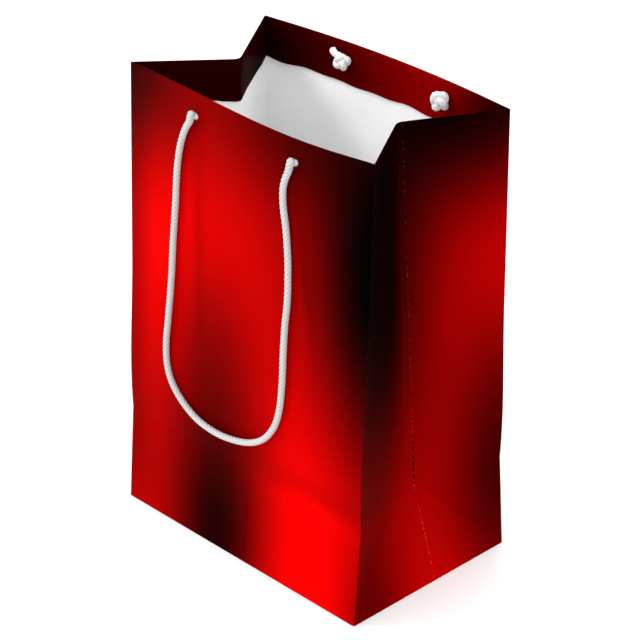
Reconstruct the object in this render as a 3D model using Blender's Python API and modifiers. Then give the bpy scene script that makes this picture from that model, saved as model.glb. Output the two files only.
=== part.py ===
"""Paper gift bag with two twisted cord handles, standing open.

Metres, +Z up, the front towards -Y. The origin is the middle of the base, on the surface
that the bag stands on. One laminated sheet is folded into walls, side gussets and bottom
flaps. Every panel between two creases is an object of its own. A loose board lies on the
bottom, a card strip stiffens each long side of the rim, and each cord ends in two knots.
"""

import math

import bmesh
import bpy
from mathutils import Matrix, Vector

# Driving dimensions
WIDTH = 0.200  # base, along X
DEPTH = 0.128  # base, along Y, and the width of each gusset's sheet
HEIGHT = 0.290  # rim above the floor
STRIP_LEAN = 0.005  # the score line stands this far in from the edge of the base
MOUTH_HALF = 0.05325  # half the depth of the mouth at its corners
MOUTH_SHIFT = 0.003  # the mouth stands this far towards the back
BOW = 0.007  # the rim's middle stands this far out from its corners
FOLD_DROP = 0.003  # the gusset's centre crease ends this far below the rim
PAPER = 0.0005
CARD = 0.0008
BOARD = 0.0015
GAP = 0.0003  # between pieces that touch on the real bag
HEM = 0.026  # depth of the paper turned in at the rim
HOLE_HALF = 0.0405  # from the point midway between a wall's cord holes to each of them
HOLE_SHIFT = 0.004  # that point stands this far to the right of the middle
HOLE_DROP = 0.0140  # from the rim to the middle of each cord hole
HOLE_RADIUS = 0.0025
CORD_RADIUS = 0.002
KNOT_RADIUS = 0.005

# Room that the folded sheet needs beside its creases
CREASE_TRIM = 0.0012  # round a fixed panel
PANEL_SIDE_TRIM = 0.0008  # from a wall panel to the crease at its side
PANEL_FOOT_TRIM = 0.0006  # from a wall panel to the score line
GUSSET_EDGE_TRIM = 0.0034  # from a gusset half to the crease it turns about
GUSSET_FOLD_TRIM = 0.0022  # from a gusset half to the centre crease
GUSSET_FOOT_TRIM = 0.0015
WALL_HEM_INSET = 0.012  # from the wall's hem and card to the corner
GUSSET_HEM_INSET = 0.013  # from the gusset's hem to the corner
SEAM_INSET = 0.008  # from the glued flap to the corner
SEAM_WIDTH = 0.014

# Bottom
FLAP_REACH = 0.020  # each long flap passes the middle by this much
TUCK_DEPTH = 0.045
BOARD_CLEARANCE = 0.003  # between the board and the edge of the base
BOARD_CORNER = 0.002

# Worked out from the above. The corner folds are right-angled, so the score line and the
# centre crease's foot are both half a depth from the base along the paper.
HALF_WIDTH = WIDTH / 2
HALF_DEPTH = DEPTH / 2
SCORE_Y = HALF_DEPTH - STRIP_LEAN
SCORE_Z = math.sqrt(HALF_DEPTH**2 - STRIP_LEAN**2)
APEX_Z = HALF_DEPTH * SCORE_Y / SCORE_Z
APEX_IN = math.sqrt(HALF_DEPTH**2 - APEX_Z**2)
FOLD_IN = math.sqrt(HALF_DEPTH**2 - MOUTH_HALF**2)
WALL_RISE = HEIGHT - SCORE_Z
CARD_DEPTH = PAPER + GAP
WALL_HEM_DEPTH = CARD_DEPTH + CARD + GAP
GUSSET_HEM_DEPTH = PAPER + GAP
CORD_STAND_OFF = 0.0026  # from the wall's outer face to the middle of the cord

FRONT, BACK = -1, 1
LEFT, RIGHT = -1, 1
SIDE_NAME = {LEFT: "left", RIGHT: "right"}
WALL_NAME = {FRONT: "front", BACK: "back"}

# The front cord's route, across and above the floor, in metres. It hangs from the left hole
# in one loop to the right hole. The back cord is the same, seen from behind.
CORD_ROUTE = (
    (-0.0365, 0.2760),
    (-0.0388, 0.2730),
    (-0.0420, 0.2685),
    (-0.0453, 0.2620),
    (-0.0484, 0.2530),
    (-0.0512, 0.2385),
    (-0.0533, 0.2160),
    (-0.0556, 0.1960),
    (-0.0583, 0.1670),
    (-0.0614, 0.1390),
    (-0.0630, 0.1220),
    (-0.0616, 0.1075),
    (-0.0560, 0.0965),
    (-0.0455, 0.0872),
    (-0.0320, 0.0813),
    (-0.0140, 0.0800),
    (0.0068, 0.0842),
    (0.0218, 0.0923),
    (0.0317, 0.1045),
    (0.0364, 0.1185),
    (0.0380, 0.1370),
    (0.0385, 0.1580),
    (0.0397, 0.1750),
    (0.0416, 0.1920),
    (0.0419, 0.2140),
    (0.0404, 0.2340),
    (0.0382, 0.2480),
    (0.0379, 0.2580),
    (0.0394, 0.2650),
    (0.0420, 0.2710),
    (0.0445, 0.2760),
)
CORD_STEP = 0.009  # spacing of the cord's points

# Colours
PRINT_RED = (0.55, 0.0, 0.0)
PRINT_DARK = (0.12, 0.0, 0.0)
CARD_GREY = (0.62, 0.60, 0.56)
CORD_WHITE = (0.88, 0.88, 0.87)


def collection(name):
    made = bpy.data.collections.new(name)
    bpy.context.scene.collection.children.link(made)
    return made


def clear_scene():
    for obj in list(bpy.data.objects):
        bpy.data.objects.remove(obj, do_unlink=True)


def paint(obj, colour, roughness):
    material = bpy.data.materials.new(obj.name + "_material")
    material.use_nodes = True
    shader = material.node_tree.nodes["Principled BSDF"]
    shader.inputs["Base Color"].default_value = (*colour, 1.0)
    shader.inputs["Roughness"].default_value = roughness
    obj.data.materials.append(material)
    return obj


def pivot(name, where, parent=None):
    """An empty on a joint's axis. `where` is in the world's frame."""
    empty = bpy.data.objects.new(name, None)
    empty.empty_display_size = 0.01
    BAG.objects.link(empty)
    empty["world"] = tuple(where)
    empty.parent = parent
    empty.location = Vector(where) - (Vector(parent["world"]) if parent else Vector())
    return empty


def hang(obj, parent):
    """Parents an object to a pivot and leaves it where it is."""
    obj.parent = parent
    obj.matrix_parent_inverse = Matrix.Translation(-Vector(parent["world"]))
    return obj


def add_object(name, data):
    obj = bpy.data.objects.new(name, data)
    BAG.objects.link(obj)
    return obj


def add_modifier(obj, kind, **settings):
    modifier = obj.modifiers.new(kind.title(), kind)
    for key, value in settings.items():
        setattr(modifier, key, value)
    return modifier


def thicken(obj, thickness):
    add_modifier(obj, "SOLIDIFY", thickness=thickness, offset=-1.0, use_even_offset=True)


def mesh_from(form, name, keep_outward=Vector((0.0, 0.0, HEIGHT / 2))):
    """Turns the form's faces away from a point inside the bag and makes an object of it."""
    form.normal_update()
    face = max(form.faces, key=lambda f: f.calc_area())
    if face.normal.dot(face.calc_center_median() - keep_outward) < 0:
        bmesh.ops.reverse_faces(form, faces=form.faces)
    mesh = bpy.data.meshes.new(name)
    form.to_mesh(mesh)
    form.free()
    return add_object(name, mesh)


def sheet(name, surface, across, up, cells, depth, thickness):
    """A curved panel on surface(u, v) between two values of u and of v, `depth` inside it."""
    form = bmesh.new()
    bmesh.ops.create_grid(form, x_segments=cells[0], y_segments=cells[1], size=1.0)
    for vert in form.verts:
        u = across[0] + (across[1] - across[0]) * (vert.co.x + 1) / 2
        v = up[0] + (up[1] - up[0]) * (vert.co.y + 1) / 2
        vert.co = surface(u, v, depth)
    obj = mesh_from(form, name)
    thicken(obj, thickness)
    return obj


def facet(name, corners, insets, thickness):
    """A flat panel. insets[i] moves in the edge from corner i to corner i + 1."""
    count = len(corners)
    form = bmesh.new()
    made = bmesh.ops.create_circle(form, segments=count, radius=1.0, cap_ends=True)
    for i, vert in enumerate(made["verts"]):
        here = corners[i]
        ahead = (corners[(i + 1) % count] - here).normalized()
        behind = (corners[i - 1] - here).normalized()
        spread = ahead.cross(behind).length
        vert.co = here + (ahead * insets[i - 1] + behind * insets[i]) / spread
    obj = mesh_from(form, name)
    thicken(obj, thickness)
    return obj


def outline(name, points, half_length, matrix):
    """A prism: a closed outline in the matrix's XY plane, as thick as twice half_length."""
    curve = bpy.data.curves.new(name, "CURVE")
    curve.dimensions = "2D"
    curve.fill_mode = "BOTH"
    curve.extrude = half_length
    spline = curve.splines.new("POLY")
    spline.points.add(len(points) - 1)
    for point, (x, y) in zip(spline.points, points):
        point.co = (x, y, 0.0, 1.0)
    spline.use_cyclic_u = True
    obj = add_object(name, curve)
    obj.matrix_world = matrix
    return obj


def height_to_v(height):
    return (height - SCORE_Z) / WALL_RISE


def wall_surface(side):
    """A long wall above the score line: u is x, v runs from 0 at the score line to 1."""

    def surface(u, v, depth):
        bow = BOW * v * (1 - (u / HALF_WIDTH) ** 2)
        out = SCORE_Y + (MOUTH_HALF - SCORE_Y) * v + bow - depth
        return Vector((u, side * out + MOUTH_SHIFT * v, SCORE_Z + WALL_RISE * v))

    return surface


def gusset_point(end, side, u, v):
    """A gusset half: u runs from 0 at the wall's crease to 1 at the centre crease."""
    edge = wall_surface(side)(end * HALF_WIDTH, v, 0.0)
    foot = Vector((end * (HALF_WIDTH - APEX_IN), 0.0, APEX_Z))
    top = Vector((end * (HALF_WIDTH - FOLD_IN), MOUTH_SHIFT, HEIGHT - FOLD_DROP))
    return edge.lerp(foot.lerp(top, v), u)


def gusset_surface(end, side):
    def surface(u, v, depth):
        here = gusset_point(end, side, u, v)
        step = 0.01
        along_u = gusset_point(end, side, u + step, v) - here
        along_v = gusset_point(end, side, u, v + step) - here
        inward = along_u.cross(along_v).normalized()
        if inward.x * end > 0:
            inward.negate()
        return here + inward * depth

    return surface


def cord_hole(side, end):
    """The point on the wall's outer face at the middle of a cord hole."""
    return wall_surface(side)(
        HOLE_SHIFT + end * HOLE_HALF, height_to_v(HEIGHT - HOLE_DROP), 0.0
    )


def punch_holes(obj, side):
    for end in (LEFT, RIGHT):
        bpy.ops.mesh.primitive_cylinder_add(
            vertices=16,
            radius=HOLE_RADIUS,
            depth=0.02,
            location=cord_hole(side, end),
            rotation=(math.pi / 2, 0.0, 0.0),
        )
        cutter = bpy.context.object
        cutter.name = f"{obj.name}_{SIDE_NAME[end]}_punch"
        cutter.hide_render = True
        cutter.display_type = "WIRE"
        for owner in list(cutter.users_collection):
            owner.objects.unlink(cutter)
        CUTTERS.objects.link(cutter)
        add_modifier(obj, "BOOLEAN", operation="DIFFERENCE", solver="EXACT", object=cutter)
        hang(cutter, obj.parent)


def make_wall(side, hinge):
    """The long wall's panel, its turned hem and the card strip between them."""
    name = WALL_NAME[side]
    surface = wall_surface(side)
    panel_half = HALF_WIDTH - PANEL_SIDE_TRIM
    panel_foot = PANEL_FOOT_TRIM / WALL_RISE
    panel = sheet(
        name + "_panel", surface, (-panel_half, panel_half), (panel_foot, 1.0), (12, 4), 0.0, PAPER
    )
    paint(hang(panel, hinge), PRINT_RED, 0.35)
    hem_half = HALF_WIDTH - WALL_HEM_INSET
    hem_up = (height_to_v(HEIGHT - HEM), 1.0)
    hem = sheet(
        name + "_hem", surface, (-hem_half, hem_half), hem_up, (12, 2), WALL_HEM_DEPTH, PAPER
    )
    paint(hang(hem, hinge), PRINT_DARK, 0.35)
    card_half = hem_half - 0.001
    card_up = (height_to_v(HEIGHT - HEM + 0.001), height_to_v(HEIGHT - 0.001))
    card = sheet(
        name + "_card", surface, (-card_half, card_half), card_up, (12, 2), CARD_DEPTH, CARD
    )
    paint(hang(card, hinge), CARD_GREY, 0.8)
    for obj in (panel, hem, card):
        punch_holes(obj, side)


def make_gusset_half(end, side, crease):
    """Half of a side gusset above the score line, and its turned hem."""
    name = f"{SIDE_NAME[end]}_{WALL_NAME[side]}_gusset"
    surface = gusset_surface(end, side)
    across = (GUSSET_EDGE_TRIM / HALF_DEPTH, 1 - GUSSET_FOLD_TRIM / HALF_DEPTH)
    up = (GUSSET_FOOT_TRIM / WALL_RISE, 1.0)
    panel = sheet(name, surface, across, up, (2, 6), 0.0, PAPER)
    paint(hang(panel, crease), PRINT_RED, 0.35)
    across = (GUSSET_HEM_INSET / HALF_DEPTH, across[1])
    up = (height_to_v(HEIGHT - HEM), 1.0)
    hem = sheet(name + "_hem", surface, across, up, (2, 2), GUSSET_HEM_DEPTH, PAPER)
    paint(hang(hem, crease), PRINT_DARK, 0.35)


def make_seam_flap(hinge):
    """The strip by which the sheet's two ends are glued, inside the front wall's left edge."""
    start = -HALF_WIDTH + SEAM_INSET
    up = (height_to_v(SCORE_Z + 0.004), height_to_v(HEIGHT - HEM - 0.002))
    flap = sheet(
        "side_seam_flap",
        wall_surface(FRONT),
        (start, start + SEAM_WIDTH),
        up,
        (1, 4),
        PAPER + GAP,
        PAPER,
    )
    paint(hang(flap, hinge), PRINT_RED, 0.35)


def make_lower_strip(side):
    """The long wall's part below the score line."""
    corners = [
        Vector((-HALF_WIDTH, side * HALF_DEPTH, 0.0)),
        Vector((HALF_WIDTH, side * HALF_DEPTH, 0.0)),
        Vector((HALF_WIDTH, side * SCORE_Y, SCORE_Z)),
        Vector((-HALF_WIDTH, side * SCORE_Y, SCORE_Z)),
    ]
    foot = PAPER + GAP
    insets = (foot, CREASE_TRIM, PANEL_FOOT_TRIM, CREASE_TRIM)
    strip = facet(WALL_NAME[side] + "_lower_strip", corners, insets, PAPER)
    paint(strip, PRINT_RED, 0.35)


def make_gusset_foot(end):
    """The triangle on the base's short edge and the corner folds at its two sides."""
    apex = Vector((end * (HALF_WIDTH - APEX_IN), 0.0, APEX_Z))
    corners = [Vector((end * HALF_WIDTH, side * HALF_DEPTH, 0.0)) for side in (FRONT, BACK)]
    above_tuck = TUCK_TOP + GAP
    insets = (above_tuck * HALF_DEPTH / APEX_Z, CREASE_TRIM, CREASE_TRIM)
    triangle = facet(SIDE_NAME[end] + "_base_triangle", [*corners, apex], insets, PAPER)
    paint(triangle, PRINT_RED, 0.35)
    for side, low in zip((FRONT, BACK), corners):
        high = Vector((end * HALF_WIDTH, side * SCORE_Y, SCORE_Z))
        name = f"{SIDE_NAME[end]}_{WALL_NAME[side]}_corner_fold"
        fold = facet(name, [low, high, apex], [CREASE_TRIM] * 3, PAPER)
        paint(fold, PRINT_RED, 0.35)


def make_bottom():
    """Two long flaps, one lapped over the other, the two end tucks and the loose board."""
    half = HALF_DEPTH
    level = PAPER + GAP
    flat = Matrix.Translation((0.0, 0.0, PAPER / 2))
    front = [
        (-HALF_WIDTH, -half),
        (HALF_WIDTH, -half),
        (HALF_WIDTH, FLAP_REACH),
        (-HALF_WIDTH, FLAP_REACH),
    ]
    paint(outline("bottom_front_flap", front, PAPER / 2, flat), PRINT_RED, 0.35)
    rise = FLAP_REACH + 0.0025
    lap = FLAP_REACH + 0.0008
    profile = [
        (half, 0.0),
        (half, PAPER),
        (rise - GAP, PAPER),
        (lap - GAP, level + PAPER),
        (-FLAP_REACH, level + PAPER),
        (-FLAP_REACH, level),
        (lap, level),
        (rise, 0.0),
    ]
    along_x = Matrix.Rotation(math.pi / 2, 4, "Z") @ Matrix.Rotation(math.pi / 2, 4, "X")
    paint(outline("bottom_back_flap", profile, HALF_WIDTH, along_x), PRINT_RED, 0.35)
    tuck_middle = Matrix.Translation((0.0, 0.0, TUCK_TOP - PAPER / 2))
    for end in (LEFT, RIGHT):
        outer = end * (HALF_WIDTH - 0.001)
        inner = outer - end * TUCK_DEPTH
        wide = HALF_DEPTH - 0.0015
        narrow = wide - TUCK_DEPTH
        shape = [(outer, -wide), (outer, wide), (inner, narrow), (inner, -narrow)]
        tuck = outline(SIDE_NAME[end] + "_bottom_tuck", shape, PAPER / 2, tuck_middle)
        paint(tuck, PRINT_RED, 0.35)
    bpy.ops.mesh.primitive_cube_add(size=1.0)
    board = bpy.context.object
    board.name = "base_board"
    size = (WIDTH - 2 * BOARD_CLEARANCE, DEPTH - 2 * BOARD_CLEARANCE, BOARD)
    board.data.transform(Matrix.Diagonal((*size, 1.0)))
    board.location.z = TUCK_TOP + GAP + BOARD / 2
    for owner in list(board.users_collection):
        owner.objects.unlink(board)
    BAG.objects.link(board)
    edges = bmesh.new()
    edges.from_mesh(board.data)
    upright = [e for e in edges.edges if abs(e.verts[0].co.z - e.verts[1].co.z) > BOARD / 2]
    bmesh.ops.bevel(edges, geom=upright, offset=BOARD_CORNER, segments=2, affect="EDGES")
    edges.to_mesh(board.data)
    edges.free()
    paint(board, CARD_GREY, 0.8)


def make_knot(side, end, hinge):
    """A cord's knot inside the hem, with the stretch of cord that fills the hole."""
    stem_radius = CORD_RADIUS - 0.0001
    stem_end = WALL_HEM_DEPTH + PAPER + GAP
    lean = math.asin(stem_radius / KNOT_RADIUS)
    middle = stem_end + KNOT_RADIUS * math.cos(lean)
    steps = 8
    profile = []
    for i in range(steps + 1):
        angle = (math.pi - lean) * i / steps
        profile.append((KNOT_RADIUS * math.sin(angle), middle + KNOT_RADIUS * math.cos(angle)))
    profile += [(stem_radius, -GAP), (0.0, -GAP)]
    form = bmesh.new()
    verts = [form.verts.new((x, 0.0, z)) for x, z in profile]
    for low, high in zip(verts, verts[1:]):
        form.edges.new((low, high))
    name = f"{WALL_NAME[side]}_{SIDE_NAME[end]}_knot"
    mesh = bpy.data.meshes.new(name)
    form.to_mesh(mesh)
    form.free()
    knot = add_object(name, mesh)
    knot.location = cord_hole(side, end)
    knot.rotation_euler = (side * math.pi / 2, 0.0, 0.0)
    add_modifier(
        knot,
        "SCREW",
        axis="Z",
        steps=12,
        render_steps=12,
        use_merge_vertices=True,
        merge_threshold=0.00005,
        use_smooth_shade=True,
    )
    paint(hang(knot, hinge), CORD_WHITE, 0.7)


def smooth_route(side):
    """Evenly spaced points on a Catmull-Rom curve through the cord's route."""
    surface = wall_surface(side)
    points = []
    for x, z in CORD_ROUTE:
        across = x if side == FRONT else 2 * HOLE_SHIFT - x
        points.append(surface(across, height_to_v(z), -CORD_STAND_OFF))
    ends = [points[0] * 2 - points[1], *points, points[-1] * 2 - points[-2]]
    fine = []
    parts = 12
    for a, b, c, d in zip(ends, ends[1:], ends[2:], ends[3:]):
        for i in range(parts):
            t = i / parts
            fine.append(
                (b * 2 + (c - a) * t + (a * 2 - b * 5 + c * 4 - d) * t**2
                 + (b * 3 - a - c * 3 + d) * t**3) / 2
            )
    fine.append(points[-1])
    length = sum((b - a).length for a, b in zip(fine, fine[1:]))
    count = round(length / CORD_STEP)
    spaced, walked, target = [fine[0]], 0.0, length / count
    for a, b in zip(fine, fine[1:]):
        span = (b - a).length
        while walked + span >= target and len(spaced) < count:
            spaced.append(a.lerp(b, (target - walked) / span))
            target += length / count
        walked += span
    return [*spaced, fine[-1]]


def make_cord(side, swing):
    name = WALL_NAME[side] + "_cord"
    route = smooth_route(side)
    curve = bpy.data.curves.new(name, "CURVE")
    curve.dimensions = "3D"
    curve.bevel_depth = CORD_RADIUS
    curve.bevel_resolution = 2
    curve.use_fill_caps = True
    spline = curve.splines.new("POLY")
    spline.points.add(len(route) - 1)
    for point, where in zip(spline.points, route):
        point.co = (*where, 1.0)
    paint(hang(add_object(name, curve), swing), CORD_WHITE, 0.7)


def make_side(side):
    """Everything that turns with one long wall."""
    name = WALL_NAME[side]
    hinge = pivot(name + "_score_hinge", (0.0, side * SCORE_Y, SCORE_Z))
    make_wall(side, hinge)
    for end in (LEFT, RIGHT):
        make_knot(side, end, hinge)
        crease = pivot(
            f"{SIDE_NAME[end]}_{name}_crease", (end * HALF_WIDTH, side * SCORE_Y, SCORE_Z), hinge
        )
        make_gusset_half(end, side, crease)
    axis_point = wall_surface(side)(HOLE_HALF, height_to_v(HEIGHT - HOLE_DROP), -CORD_STAND_OFF)
    swing = pivot(name + "_handle_pivot", (0.0, axis_point.y, axis_point.z), hinge)
    make_cord(side, swing)
    if side == FRONT:
        make_seam_flap(hinge)


TUCK_TOP = 3 * PAPER + 2 * GAP

clear_scene()
BAG = collection("gift_bag")
CUTTERS = collection("cutters")
make_bottom()
for wall in (FRONT, BACK):
    make_lower_strip(wall)
    make_side(wall)
for gusset in (LEFT, RIGHT):
    make_gusset_foot(gusset)
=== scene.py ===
"""Looks of the paper gift bag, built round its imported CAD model.

Metres, +Z up, the front towards -Y. The bag's skin is one sheet of paper. A place on it is
(s, g): s runs round the bag from the front left edge, and g runs up the paper from the edge
of the base. skin() folds the sheet into shape, so neighbouring pieces meet on their creases,
and the print is laid out in (s, g), so it runs on from piece to piece.
"""

import math

import bmesh
import bpy
import numpy as np
from mathutils import Matrix, Vector


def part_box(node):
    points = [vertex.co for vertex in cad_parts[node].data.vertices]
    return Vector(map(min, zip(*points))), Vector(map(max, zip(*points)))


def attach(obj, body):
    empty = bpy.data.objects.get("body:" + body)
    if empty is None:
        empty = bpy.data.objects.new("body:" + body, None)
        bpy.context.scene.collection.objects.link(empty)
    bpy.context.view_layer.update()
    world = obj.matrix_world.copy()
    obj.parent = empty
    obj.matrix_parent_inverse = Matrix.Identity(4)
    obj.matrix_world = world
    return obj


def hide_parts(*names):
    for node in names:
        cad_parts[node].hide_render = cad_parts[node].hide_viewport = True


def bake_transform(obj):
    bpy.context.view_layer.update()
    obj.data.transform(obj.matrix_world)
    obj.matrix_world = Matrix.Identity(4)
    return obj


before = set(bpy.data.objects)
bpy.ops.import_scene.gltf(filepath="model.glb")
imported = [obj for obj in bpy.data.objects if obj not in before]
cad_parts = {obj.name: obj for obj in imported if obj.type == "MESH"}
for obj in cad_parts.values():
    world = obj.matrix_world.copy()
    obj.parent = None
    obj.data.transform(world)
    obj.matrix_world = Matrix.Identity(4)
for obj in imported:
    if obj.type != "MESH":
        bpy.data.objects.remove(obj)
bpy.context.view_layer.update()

# Dimensions read from the frame
HALF_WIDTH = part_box("bottom_front_flap")[1].x
HALF_DEPTH = -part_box("bottom_front_flap")[0].y
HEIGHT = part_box("front_panel")[1].z
BOARD_LOW, BOARD_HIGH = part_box("base_board")

# Dimensions of the folded sheet, as in the CAD
STRIP_LEAN = 0.005
MOUTH_HALF = 0.05325
MOUTH_SHIFT = 0.003
BOW = 0.007
FOLD_DROP = 0.003
HEM = 0.026
HOLE_HALF = 0.0405
HOLE_SHIFT = 0.004
HOLE_DROP = 0.0140
CORD_RADIUS = 0.002
CORD_STAND_OFF = 0.0026
FLAP_REACH = 0.020
TUCK_DEPTH = 0.045
SEAM_INSET = 0.008
SEAM_WIDTH = 0.014

SCORE_Y = HALF_DEPTH - STRIP_LEAN
SCORE_Z = math.sqrt(HALF_DEPTH**2 - STRIP_LEAN**2)
APEX_Z = HALF_DEPTH * SCORE_Y / SCORE_Z
APEX_IN = math.sqrt(HALF_DEPTH**2 - APEX_Z**2)
FOLD_IN = math.sqrt(HALF_DEPTH**2 - MOUTH_HALF**2)
WALL_RISE = HEIGHT - SCORE_Z

# The sheet laid flat
WIDTH = 2 * HALF_WIDTH
DEPTH = 2 * HALF_DEPTH
HALF_ROUND = WIDTH + DEPTH
ROUND = 2 * HALF_ROUND
SCORE_G = HALF_DEPTH
RIM_G = SCORE_G + WALL_RISE

# Details finer than the CAD's
SHEET = 0.0003  # thickness of the paper
CREASE_SOFTNESS = 0.0007  # the sheet bends over this distance on each side of a crease
FOLD_TOP_SOFTNESS = 0.0038  # the same for the gusset's fold at the rim, where the hem stiffens it
FOLD_TOP_REACH = 0.035  # the fold sharpens over this distance below the rim
APEX_SHIFT = 0.004  # the gusset's foot stands this far towards the back
WALL_SWELL = 0.0014  # each wall swells out by this above the score line
SWELL_REACH = 0.45  # share of the wall's height over which it does
RIM_WAVE = 0.0014  # the front rim waves up and down by this
WALL_TURN = 0.0008  # radius of the turn over the rim, round the card
GUSSET_TURN = 0.00042
TURN_EASE = 0.012  # the turn changes from one radius to the other over this distance
TURN_G = RIM_G - WALL_TURN  # the hem piece starts here
TURN_ROWS = 9
HEM_ROWS = (0.02, 0.08, 0.2, 0.35, 0.5, 0.65, 0.8, 0.9, 0.97, 1.0)  # shares of the hem's depth
HEM_WAVES = ((0.0005, 9, 0.8), (0.0004, 23, 2.1))  # of its edge: height, waves round the bag, phase
HEM_LIFT = 0.0003  # its edge stands off the wall by up to twice this
HEM_LIFT_FROM = 0.7  # share of its depth from which it does
HEM_LIFT_WAVES = 17
CORNER_REACH = 0.0016  # the hem runs straight over this distance in an acute corner
NORMAL_STEP = 0.0003  # a normal is measured over this distance on each side
MITRE_REACH = 0.0016  # and averaged over this one beside a crease
RIPPLE_HEIGHT = 0.00012
RIPPLE_EASE = 0.03  # ripples fade over this distance towards a crease
RIPPLE_RIM_EASE = 0.05
HOLE = 0.0023  # radius of a cord hole
CARD_GAP = 0.00008  # between a card strip and the paper on each side
CARD_INSET = 0.001  # from the card's lower edge to the hem's
SEAM_GAP = 0.00005
SEAM_START = 0.004  # from the score line to the seam flap
FOOT_TOP = 0.086  # how far up the sheet a gusset's foot reaches
FLOOR_GAP = 0.00002  # under the bottom flaps
FLAP_INSET = 0.0004  # from the edge of the base to the bottom flaps
TUCK_LEVEL = 2 * SHEET + 0.0006
SHARP_ANGLE = 50  # degrees: flatter edges are shaded smooth
FINE_STEPS = (0.0, 0.00025, 0.0005, 0.00075, 0.0011, 0.0018, 0.003)  # grid lines beside a crease
COARSE_STEP = 0.005

# The twisted cord and its knots
STRANDS = 4
YARNS = 24
ROPE_PITCH = 0.0115
GROOVE = 0.16  # depth of the groove between strands, as a share of the radius
ROPE_SIDES = 24
ROPE_STEP = 0.0007
ROPE_CAP = 0.002  # a rope's end rounds off over this length
TAIL_CAP = 0.0008  # and a cut tail's over this one
TIP_SHARE = 0.06  # what is left of the rounding at the very end
THICK_REACH = 0.012  # the cord is thicker over this distance at the hole
NUB_THICKER = 0.14
STUB_THICKER = -0.42
NUB_LIFT = ((0.0009, 0.0044), (0.0008, 0.0040))  # the lobe over each hole, across and up
NUB_OUT = 0.0006
KNOT_CORD = 0.0024
KNOT_SPREAD = 0.54  # of the cord's radius: how closely the knot is drawn together
KNOT_POINTS = 30
KNOT_FROM, KNOT_TO = 0.03, 0.97  # the share of the closed trefoil that the knot follows
HEM_PACK = 0.0022  # panel, card and hem together at a hole
MM = 0.001

FRONT, BACK = -1, 1
LEFT, RIGHT = -1, 1
SIDE_NAME = {LEFT: "left", RIGHT: "right"}
WALL_NAME = {FRONT: "front", BACK: "back"}

# Each knot: its turn in the wall's plane in degrees, its size, how far its middle lies from the
# hole across and up in millimetres, and its tail's places from the knot's middle: across to the
# right as seen from inside, up, and in from the wall, in millimetres.
KNOTS = {
    (FRONT, LEFT): (20, 1.0, (-1.0, 0.0), ((-5.5, -4.0, 0.8), (-6.5, -8.5, 0.0))),
    (FRONT, RIGHT): (150, 1.0, (1.0, 0.0), ((3.5, -6.0, 1.0), (4.5, -10.0, 0.2))),
    (BACK, LEFT): (55, 0.9, (3.2, 3.0), ((-4.2, 4.0, 0.6), (-7.6, 5.2, -0.4), (-8.6, 5.5, -0.8))),
    (BACK, RIGHT): (100, 1.0, (3.6, 2.8), ((-1.6, 3.6, 3.0), (0.6, 4.6, 1.0))),
}

# The front cord's route, across and above the floor, as in the CAD
CORD_ROUTE = (
    (-0.0365, 0.2760),
    (-0.0388, 0.2730),
    (-0.0420, 0.2685),
    (-0.0453, 0.2620),
    (-0.0484, 0.2530),
    (-0.0512, 0.2385),
    (-0.0533, 0.2160),
    (-0.0556, 0.1960),
    (-0.0583, 0.1670),
    (-0.0614, 0.1390),
    (-0.0630, 0.1220),
    (-0.0616, 0.1075),
    (-0.0560, 0.0965),
    (-0.0455, 0.0872),
    (-0.0320, 0.0813),
    (-0.0140, 0.0800),
    (0.0068, 0.0842),
    (0.0218, 0.0923),
    (0.0317, 0.1045),
    (0.0364, 0.1185),
    (0.0380, 0.1370),
    (0.0385, 0.1580),
    (0.0397, 0.1750),
    (0.0416, 0.1920),
    (0.0419, 0.2140),
    (0.0404, 0.2340),
    (0.0382, 0.2480),
    (0.0379, 0.2580),
    (0.0394, 0.2650),
    (0.0420, 0.2710),
    (0.0445, 0.2760),
)

# Camera
CAMERA_PLACE = (0.9365, -0.9020, 0.8365)
CAMERA_AZIMUTH = 45.84
CAMERA_ELEVATION = 28.23
CAMERA_LENS = 138.7

# Light
WORLD_LIGHT = 1.5
KEY_PLACE = (-1.3, -1.3, 1.9)
KEY_SIZE = 0.7
KEY_POWER = 22.0
SIDE_PLACE = (2.4, 0.2, 1.2)
SIDE_SIZE = 1.6
SIDE_POWER = 8.0
LIGHT_AIM = (0.0, 0.0, 0.15)
FLOOR_HALF = 6.0
FLOOR_DROP = 0.0002  # the floor lies this far under the bag
FLOOR_SHADE = 0.93

# Print and creases
SHEET_UV = "sheet"
ROPE_UV = "rope"
UV_LIFT = 0.25  # keeps the UV map's V above zero on the bottom flaps
EYE_POWER = 2.2  # from brightness as the eye sees it to light
OLD_CREASE = (0.0046, 0.0028)  # from a gusset's fold to an earlier fold's crease: low, at the rim
CRACK_SHADE_FOOT = (0.060, 0.066)  # the painted shade in it fades in and out over these stretches
CRACK_SHADE_TOP = (0.080, 0.097)
FLECK_FADE = (0.05, 0.09)  # its flecks grow fainter over this one
WEAR_AND_HIGHLIGHT_REACH = 0.0006  # folds are worn, with a painted highlight, over this distance on each side
SHADE_START = 0.0008  # a painted fold shade sets in over this distance
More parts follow.
